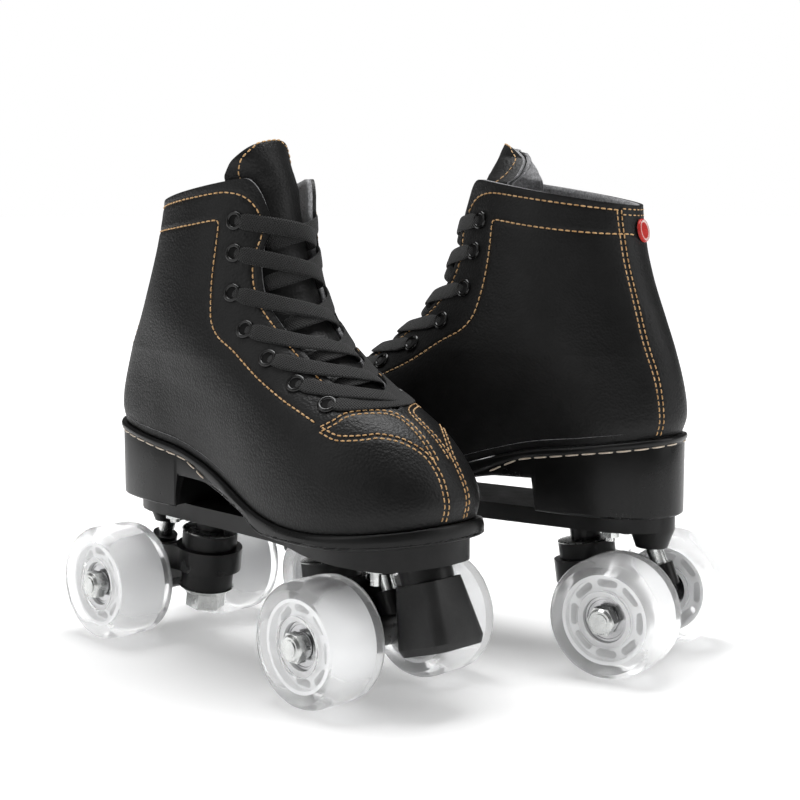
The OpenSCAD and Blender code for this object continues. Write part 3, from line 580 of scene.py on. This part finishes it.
# Loop number, half width, forward shift and rise above that loop, and how much flatter than the loop it is
TONGUE = np.array([(5.2, 13, 0, 0, 1), (6, 17, 0, 0, 1), (7, 19, 0, 0, 1), (8, 20, 0, 0, 1), (9, 21, 0, 0, 1),
                   (10, 21.5, 0, 0, 1), (11, 22, 0, 0, 1), (12, 22, -0.5, 0, 1), (13, 21.5, -1.5, 0, 1),
                   (14, 20.5, -3, 0, 1), (15, 20, -4.5, 0, 1), (16, 19.5, -6, 0, 1),
                   (16, 19.3, -7.5, 4, 1.05), (16, 17.8, -9.5, 9, 1.2),
                   (16, 13.8, -11, 12.4, 1.32), (16, 8.5, -12, 14.4, 1.45), (16, 1, -12.5, 15, 1.5)])
TWIST = {"right": 0, "left": 40}  # degrees
TONGUE_GAP = 5.8  # from the boot's outside to the tongue's front


def tongue_at(v, across):
    """Point on the tongue at row v, across mm from its middle line."""
    v, across = np.broadcast_arrays(np.asarray(v, float), np.asarray(across, float))
    q = smooth(np.arange(len(TONGUE)), TONGUE, v)
    r = smooth(np.arange(TOP + 1), LOOPS, np.clip(q[..., 0], 0, TOP))
    w = (r[..., 4] - TONGUE_GAP) * q[..., 4]
    c = OVAL_MID + (1 - OVAL_MID) * np.sqrt(np.clip(1 - (across / np.maximum(w, np.abs(across))) ** 2, 0, 1))
    x = r[..., 0] + TONGUE_GAP + (r[..., 2] - r[..., 0] - 2 * TONGUE_GAP) * c
    z = r[..., 1] + (r[..., 3] - r[..., 1]) * c
    return np.stack([x + q[..., 2], mid_y(x, z) + across, z + q[..., 3]], -1)


def twist_top(side, points):
    """Leans the free end of the tongue to the outer side, and turns it there."""
    k = np.clip((points[..., 2] - 228) / 16, 0, 1)
    a = -np.radians(TWIST[side]) * np.clip((points[..., 2] - 232) / 14, 0, 1)
    x, y = points[..., 0] - 14, points[..., 1] - 4
    z = points[..., 2] + 0.14 * y * k
    y = y - 4.5 * k
    return np.stack([14 + x * np.cos(a) - y * np.sin(a), 4 + x * np.sin(a) + y * np.cos(a), z], -1)


def tongue_skin(v, across, depth):
    """Points depth mm behind the tongue's front, and its normals."""
    v, across = np.broadcast_arrays(np.asarray(v, float), np.asarray(across, float))
    last = len(TONGUE) - 1
    up = tongue_at(np.clip(v + 0.1, 0, last), across) - tongue_at(np.clip(v - 0.1, 0, last), across)
    side_way = tongue_at(v, across + 0.3) - tongue_at(v, across - 0.3)
    n = unit(np.cross(side_way, up))
    return tongue_at(v, across) - n * np.asarray(depth, float)[..., None], n


def tongue_half(v):
    return smooth(np.arange(len(TONGUE)), TONGUE[:, 1], np.asarray(v, float))


def closed_sheet(front, back):
    """Closed mesh between two grids of points; returns points, faces and how many faces the front has."""
    rows, cols = front.shape[:2]
    n = rows * cols
    points = np.concatenate([front.reshape(-1, 3), back.reshape(-1, 3)])
    idx = np.arange(n).reshape(rows, cols)
    quads = np.stack([idx[:-1, :-1], idx[:-1, 1:], idx[1:, 1:], idx[1:, :-1]], -1).reshape(-1, 4)
    rim = np.concatenate([idx[0, :], idx[1:, -1], idx[-1, -2::-1], idx[-2:0:-1, 0]])
    side = np.stack([rim, np.roll(rim, -1), np.roll(rim, -1) + n, rim + n], -1)
    faces = [tuple(q) for q in quads] + [tuple(q[::-1] + n) for q in quads] + [tuple(q[::-1]) for q in side]
    return points, faces, len(quads)


def tongue_layer(name, side, near, far, shrink, materials, body, bulge=0.0):
    last = len(TONGUE) - 1
    v = np.concatenate([np.linspace(0, 11, 60), np.linspace(11, last, 40)[1:]]) * (1 - shrink * 0.006)
    f = np.cos(np.linspace(0, np.pi, 41))
    half = np.maximum(tongue_half(v) - shrink, 0.3)
    vv, ff = np.repeat(v[:, None], len(f), 1), half[:, None] * f[None]
    pad = bulge * (1 - np.abs(f[None]) ** 4) * np.clip((last - v) / 2.5, 0, 1)[:, None] ** 0.5
    swell = 1 + 0.6 * np.clip((vv - 10.5) / 2, 0, 1)
    front = twist_top(side, tongue_skin(vv, ff, near * swell - pad)[0])
    back = twist_top(side, tongue_skin(vv, ff, far * swell)[0])
    points, faces, n = closed_sheet(front[:, ::-1], back[:, ::-1])
    slots = [0] * n + [len(materials) - 1] * (len(faces) - n)
    return mesh_piece(name, side, points, faces, materials, body, face_slots=slots)


def tongue_line(side, inset_by):
    """Points and normals along the tongue's edge, a few millimetres inside it."""
    v = np.linspace(9, len(TONGUE) - 1, 200)
    half = tongue_half(v)
    last = len(TONGUE) - 1
    top_arc = last - 1.55
    keep = v < top_arc
    left = [(a, -(h - inset_by)) for a, h in zip(v[keep], half[keep])]
    h0 = -left[-1][1]
    arc = [(top_arc + math.sin(t), -h0 * math.cos(t)) for t in np.linspace(0.05, math.pi - 0.05, 40)]
    path = np.array(left + arc + [(a, -b) for a, b in left[::-1]])
    p, n = tongue_skin(path[:, 0], path[:, 1], np.full(len(path), -0.3))
    return [(twist_top(side, p), n)]


# ---------- laces and eyelets ----------

LACE_W, LACE_T, LACE_POINTS = 8.0, 1.3, 44


def lace_strip(start, end, side_sign, kind):
    """Points, normals and share of the way along one visible run of lace across the throat."""
    a, b = EYELETS[start], EYELETS[end]
    s = np.linspace(0, 1, LACE_POINTS)
    throat_end = float(smooth(THROAT[:, 0], THROAT[:, 1], np.array([b[0] * 0.7 + a[0] * 0.3]))[0])
    stop = b[1] if kind == "bar" else throat_end - 5
    total = 360 - a[1] - stop
    turn = a[1] + total * s
    u = a[0] + (0.3 * np.sin(np.pi * s) if kind == "bar" else (b[0] - a[0]) * 0.72 * s)
    w = np.where(turn > 180, -side_sign, side_sign)
    t = np.where(turn > 180, 360 - turn, turn)
    base = surf(u, w * np.clip(t, 1, 179.99))
    nn = normal(np.clip(u, 0.3, TOP - 0.3), w * np.clip(t, 2, 178))
    return base, nn, s


def lace_runs():
    """Every run as (centre points, across vectors, up vectors, half widths)."""
    runs = []
    for k in range(6):
        for sign in (-1, 1):
            runs.append((k, k + 1, sign, "cross", 1.9 if sign < 0 else 0.4))
    runs.append((6, 6, -1, "bar", 0.6))
    out = []
    for start, end, sign, kind, over in runs:
        base, nn, s = lace_strip(start, end, sign, kind)
        lift = np.full(len(s), 0.55) + over * np.exp(-((s - 0.52) / 0.22) ** 2)
        lift = lift - 1.6 * np.clip(1 - s / 0.06, 0, 1) ** 1.5
        if kind == "bar":
            lift = lift - 1.6 * np.clip(1 - (1 - s) / 0.06, 0, 1) ** 1.5
        else:
            # passes under the far facing
            lift = lift - 6.3 * np.clip((s - 0.86) / 0.09, 0, 1) ** 1.2
        centre = base + nn * lift[:, None]
        # relax the line so that it spans the throat nearly straight
        for _ in range(30):
            moved = centre.copy()
            moved[1:-1] = (centre[:-2] + centre[2:]) / 2
            hold = np.clip(np.abs(s - 0.5) / 0.42, 0, 1)[:, None] ** 3
            centre = centre * hold + moved * (1 - hold)
            centre[0], centre[-1] = base[0] + nn[0] * lift[0], base[-1] + nn[-1] * lift[-1]
        way = unit(np.gradient(centre, axis=0))
        up = unit(nn - way * (nn * way).sum(1, keepdims=True))
        across = np.cross(way, up)
        ends = np.minimum(1, 0.5 + s / 0.16)
        if kind == "bar":
            ends = np.minimum(ends, 0.5 + (1 - s) / 0.16)
        out.append((centre, across, up, ends * LACE_W / 2))
    return out


def lace_mesh(name, side, body):
    points, faces, weave = [], [], []
    profile = []
    for j in range(14):
        t = 2 * math.pi * (j + 0.5) / 14
        x = math.copysign(abs(math.cos(t)) ** 0.55, math.cos(t))
        y = math.copysign(abs(math.sin(t)) ** 0.8, math.sin(t))
        profile.append((x, y * LACE_T / 2))
    m = len(profile)
    for centre, across, up, half in lace_runs():
        base = len(points)
        run = np.concatenate([[0], np.cumsum(np.linalg.norm(np.diff(centre, axis=0), axis=1))])
        for c, a, n, h, s in zip(centre, across, up, half, run):
            thick_by = (LACE_W / 2 / h) ** 0.8
            for x, y in profile:
                points.append(c + a * h * x + n * y * thick_by)
                weave.append((s, x * LACE_W / 2, y))
        rows = len(centre)
        for r in range(rows - 1):
            for j in range(m):
                o = (j + 1) % m - j
                i = base + r * m + j
                faces.append((i, i + m, i + m + o, i + o))
        faces.append(tuple(base + j for j in range(m)))
        faces.append(tuple(base + (rows - 1) * m + j for j in range(m))[::-1])
    obj = mesh_piece(name, side, np.array(points), faces, LACE, body)
    attribute = obj.data.attributes.new("weave", "FLOAT_VECTOR", "POINT")
    attribute.data.foreach_set("vector", np.array(weave).ravel())
    return obj


def lathe_points(profile, spin):
    """Rings of an (r, h) profile."""
    t = np.linspace(0, 2 * np.pi, spin, endpoint=False)
    pr = np.asarray(profile, float)
    return np.stack([pr[:, None, 0] * np.cos(t), pr[:, None, 0] * np.sin(t),
                     np.repeat(pr[:, 1:2], spin, 1)], -1)


def lathe_faces(rows, spin):
    faces = []
    for r in range(rows - 1):
        for j in range(spin):
            k = (j + 1) % spin
            faces.append((r * spin + j, r * spin + k, (r + 1) * spin + k, (r + 1) * spin + j))
    return faces


def eyelet_meshes(name, side, body):
    spin = 28
    ring = [(4.55, -0.25), (4.6, 0.2), (4.3, 0.65), (3.8, 0.95), (3.3, 0.95), (2.85, 0.6), (2.6, 0.1),
            (2.55, -0.6)]
    # The hole is a flat matte dark disc at the surface: painted shade standing in for the dark inside of the
    # eyelet
    hole_shade_disc = [(2.6, 0.12), (2.0, 0.1), (1.0, 0.09), (0.02, 0.09)]
    points, faces, slots = [], [], []
    for table, slot in ((ring, 0), (hole_shade_disc, 1)):
        local = lathe_points(table, spin)
        for u, turn in EYELETS:
            for sign in (-1, 1):
                p = surf(np.array(u), np.array(sign * turn))
                n = normal(np.array(u), np.array(sign * turn))
                x = unit(np.cross(n, (0, 0, 1)))
                axes = np.array([x, np.cross(n, x), n])
                base = sum(len(q) for q in points)
                points.append((p + n * 0.1 + local.reshape(-1, 3) @ axes))
                f = lathe_faces(len(table), spin)
                faces += [tuple(base + i for i in q) for q in f]
                slots += [slot] * len(f)
    return mesh_piece(name, side, np.concatenate(points), faces, [ENAMEL, FOAM], body, face_slots=slots)


# ---------- sole ----------

# Underside of the sole and of its lip, as height above the deck by x
SOLE_BASE = [(-110, 0), (-33.6, 0), (-33.4, 16), (-10, 15.4), (12, 11.6), (30, 6.6), (36, 3.4), (40, 1.7),
             (46, 0.05), (92, 0.05), (103, 1), (115, 2.3), (128, 3.8), (134, 4.6)]
LIP_BASE = [(-110, 38.2), (-96, 36.2), (-60, 31.2), (-27, 26.2), (-14, 22.2), (-4, 17.6), (12, 13)]


def sole_outline(c, way, grow):
    x = HEEL_X - grow + (SOLE_LONG + 2 * grow) * c
    plan = smooth(PLAN_TURN, PLAN[:, 1], np.degrees(np.arccos(np.clip(1 - 2 * c, -1, 1))))
    return x, mid_y(x, 0) + way * (SOLE_HALF * plan + grow * np.minimum(1, 6 * plan))


def sole_height(table, x):
    table = np.array(table, float)
    return DECK + np.interp(x, table[:, 0], table[:, 1])


def sole_mesh(name, side, body):
    breast = (-33.5 - HEEL_X) / SOLE_LONG
    c = np.sort(np.concatenate([(1 - np.cos(np.linspace(0, np.pi, 150))) / 2,
                                [breast - 0.0005, breast + 0.0005]]))
    ring_c = np.concatenate([c, c[-2:0:-1]])
    way = np.concatenate([-np.ones(len(c)), np.ones(len(c) - 2)])
    rows = []
    for grow, part, off in ((-4, "base", 0.6), (0.2, "base", 0), (1.0, "base", 0.5), (1.2, "base", 1.3),
                            (1.2, "lip", -1.6), (1.0, "lip", -0.9), (1.3, "lip", -0.4), (1.8, "lip", 0.1),
                            (2.1, "lip", 0.9), (2.1, "top", -1.6), (1.8, "top", -0.6), (1.0, "top", -0.3),
                            (-3, "top", -0.5)):
        x, y = sole_outline(ring_c, way, grow)
        if 0 < grow < 2.5:
            blend = np.clip((x + 6) / 20, 0, 1)
            grow = grow + (2.5 - 0.5 * (off == 0) - grow) * blend * (part != "top")
            x, y = sole_outline(ring_c, way, grow)
        base = sole_height(SOLE_BASE, x)
        top = DECK + smooth(FEATHER[:, 0], FEATHER[:, 1] - DECK, x)
        lip = np.where(x < 12, sole_height(LIP_BASE, x), base + 2.6)
        lip = np.maximum(lip, base + 2.6)
        z = {"base": base, "lip": lip, "top": top}[part] + off
        rows.append(np.stack([x, y, z], -1))
    n, m = len(rows), len(ring_c)
    points = np.array(rows).reshape(-1, 3)
    faces = [(r * m + j, r * m + (j + 1) % m, (r + 1) * m + (j + 1) % m, (r + 1) * m + j)
             for r in range(n - 1) for j in range(m)]
    half = len(c)
    for j in range(half - 1):
        k, k1 = (m - j) % m, m - j - 1
        faces.append(tuple(dict.fromkeys((j, k, k1, j + 1))))
        o = (n - 1) * m
        faces.append(tuple(dict.fromkeys((o + j, o + j + 1, o + k1, o + k))))
    return mesh_piece(name, side, points, faces, SOLE, body)


def welt_line(sign):
    """Stitch line in the groove under the heel's lip, then down across the waist."""
    x = np.concatenate([np.linspace(-97, -24, 60), np.linspace(-23, -8, 12)[1:]])
    c = np.clip((x + 97.2) / 226.4, 0, 1)
    xx, y = sole_outline(c, sign, 1.35)
    lip = sole_height(LIP_BASE, xx)
    z = np.where(xx < -23.5, lip - 0.9, DECK + np.interp(xx, [-24, -8], [24.6, 17.2]))
    p = np.stack([xx, y, z], -1)
    way = unit(np.gradient(p, axis=0))
    return p, unit(np.cross(way, (0, 0, 1)) * (1 if sign < 0 else -1))


def badge(name, side, body):
    """Round badge with a raised pale ring, high on the back of the heel."""
    spin = 40
    profile = [(0.02, 0.95), (3.4, 0.95), (4.0, 0.9), (4.3, 1.15), (4.7, 1.4), (5.1, 1.3), (5.5, 1.0),
               (5.7, 0.5), (5.7, -0.3)]
    local = lathe_points(profile[::-1], spin).reshape(-1, 3)
    p = surf(np.array(14.4), np.array(0.0), 1)
    lean = math.radians(-79)
    axes = np.array([(math.cos(lean), 0, -math.sin(lean)), (0, 1, 0), (math.sin(lean), 0, math.cos(lean))])
    points = p + np.array([-1.65, 0, 0]) + local @ axes
    faces = lathe_faces(len(profile), spin)
    rows = np.repeat(np.arange(len(profile) - 1), spin)
    slots = [1 if 3 <= r <= 5 else 0 for r in rows]
    return mesh_piece(name, side, points, faces, [RED, RING], body, face_slots=slots)


# ---------- dressing one boot ----------

def dress(side):
    body = side + "_skate"
    cols = 431
    uu, turn, u = boot_grid(150, cols)
    points = surf(uu, turn).reshape(-1, 3)
    nn = normal(np.clip(uu, 0.02, TOP - 0.02), turn).reshape(-1, 3)
    seam, collar, toe_low, toe_high, heel = (line_on(t) for t in (SEAM, COLLAR, TOE_LOW, TOE_HIGH, HEEL))
    # panels lie a little proud and every seam is pulled in
    lines = [p for group in (seam, collar, toe_low, toe_high, heel) for p, n in group]
    d = near_lines(points, lines)
    points = points - nn * (0.5 * np.exp(-(d / 1.0) ** 2))[:, None]
    for e in EYELETS:
        for sign in (-1, 1):
            c = surf(np.array(e[0]), np.array(sign * e[1]))
            r = np.linalg.norm(points - c, axis=1)
            points = points - nn * (0.35 * np.exp(-((r - 3.5) / 2.6) ** 2))[:, None]
    faces = shell_faces(len(u), cols, u)
    points, faces = drop_loose(points, faces)
    upper = mesh_piece(side + "_upper_leather", side, points, faces, LEATHER, body)
    thick(upper, 1.5, 0.5)
    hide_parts(side + "_boot_upper", side + "_boot_overlays")

    cols = 161
    uu, turn, u = boot_grid(70, cols)
    turn = turn * np.where(uu > 6, (np.abs(turn) + 0.35) / np.maximum(np.abs(turn), 1), 1)
    points = surf(np.clip(uu, 0, TOP), turn, 1.7).reshape(-1, 3)
    points[:, 2] += np.where(uu.ravel() < 0.01, 3, 0)
    faces = shell_faces(len(u), cols, u)
    points, faces = drop_loose(points, faces)
    lining = mesh_piece(side + "_lining_fleece", side, points, faces, FLEECE, body)
    thick(lining, 2.3, 0)
    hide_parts(side + "_boot_lining")

    front = tongue_layer(side + "_tongue_front", side, 0, 1.3, 0, [TONGUE_LEATHER, FLEECE], body, 0.8)
    foam = tongue_layer(side + "_tongue_foam", side, 1.35, 3.4, 1.3, [FOAM], body)
    back = tongue_layer(side + "_tongue_back", side, 3.45, 4.7, 0.2, [FLEECE], body)
    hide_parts(side + "_boot_tongue")

    gold = []
    for group in (seam, collar, line_on(HEEL_TOP), line_on(HEEL_ROW)):
        gold += group
    double = []
    for table in (TOE_LOW, TOE_HIGH, HEEL):
        for sign in (-1, 1):
            for shift in (-1.15, 1.15):
                at_u, at_turn = path_points(table, sign)
                p, n = surf(at_u, at_turn), normal(at_u, at_turn)
                across = unit(np.cross(np.gradient(p, axis=0), n))
                double.append((p + across * shift, n))
    panels = stitches(side + "_stitches_panels", side, [(p - 0.35 * n, n) for p, n in gold], GOLD, body)
    pairs = stitches(side + "_stitches_double", side, [(p - 0.25 * n, n) for p, n in double], GOLD, body,
                     2.2, 2.9, 0.32)
    rim = stitches(side + "_stitches_tongue", side, tongue_line(side, 3.6), GOLD, body)
    welt = stitches(side + "_stitches_welt", side, [welt_line(-1), welt_line(1)], CREAM, body,
                    7.2, 8.3, 0.4, 0.1)
    sole = sole_mesh(side + "_sole_unit", side, body)
    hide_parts(side + "_outsole")
    disc = badge(side + "_heel_badge", side, body)
    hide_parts(side + "_size_badge")

    lace = lace_mesh(side + "_lace", side, body)
    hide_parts(side + "_laces")
    rings = eyelet_meshes(side + "_eyelet_rings", side, body)
    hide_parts(side + "_eyelets")


for side in SIDES:
    dress(side)


# ---------- floor ----------

def floor():
    m = Maker("floor_pale", (0.93, 0.93, 0.93), 0.6)
    m.set("Base Color", m.tint(m.noise(3, 3), (0.925, 0.925, 0.925), (0.935, 0.935, 0.935)))
    away = m.node("ShaderNodeVectorMath", {0: m.coord}, operation="LENGTH").outputs["Value"]
    m.shader.inputs["Emission Color"].default_value = (1, 1, 1, 1)
    # brighter with distance from the pair, so the far floor joins the background
    m.set("Emission Strength", m.spread(away, 0.28, 1.0, 0.3, 1.5))
    bpy.ops.mesh.primitive_circle_add(vertices=96, radius=30, fill_type="NGON", location=(0, 0, -0.0003))
    obj = bpy.context.object
    obj.name = "floor"
    obj.data.materials.append(m.material)


floor()
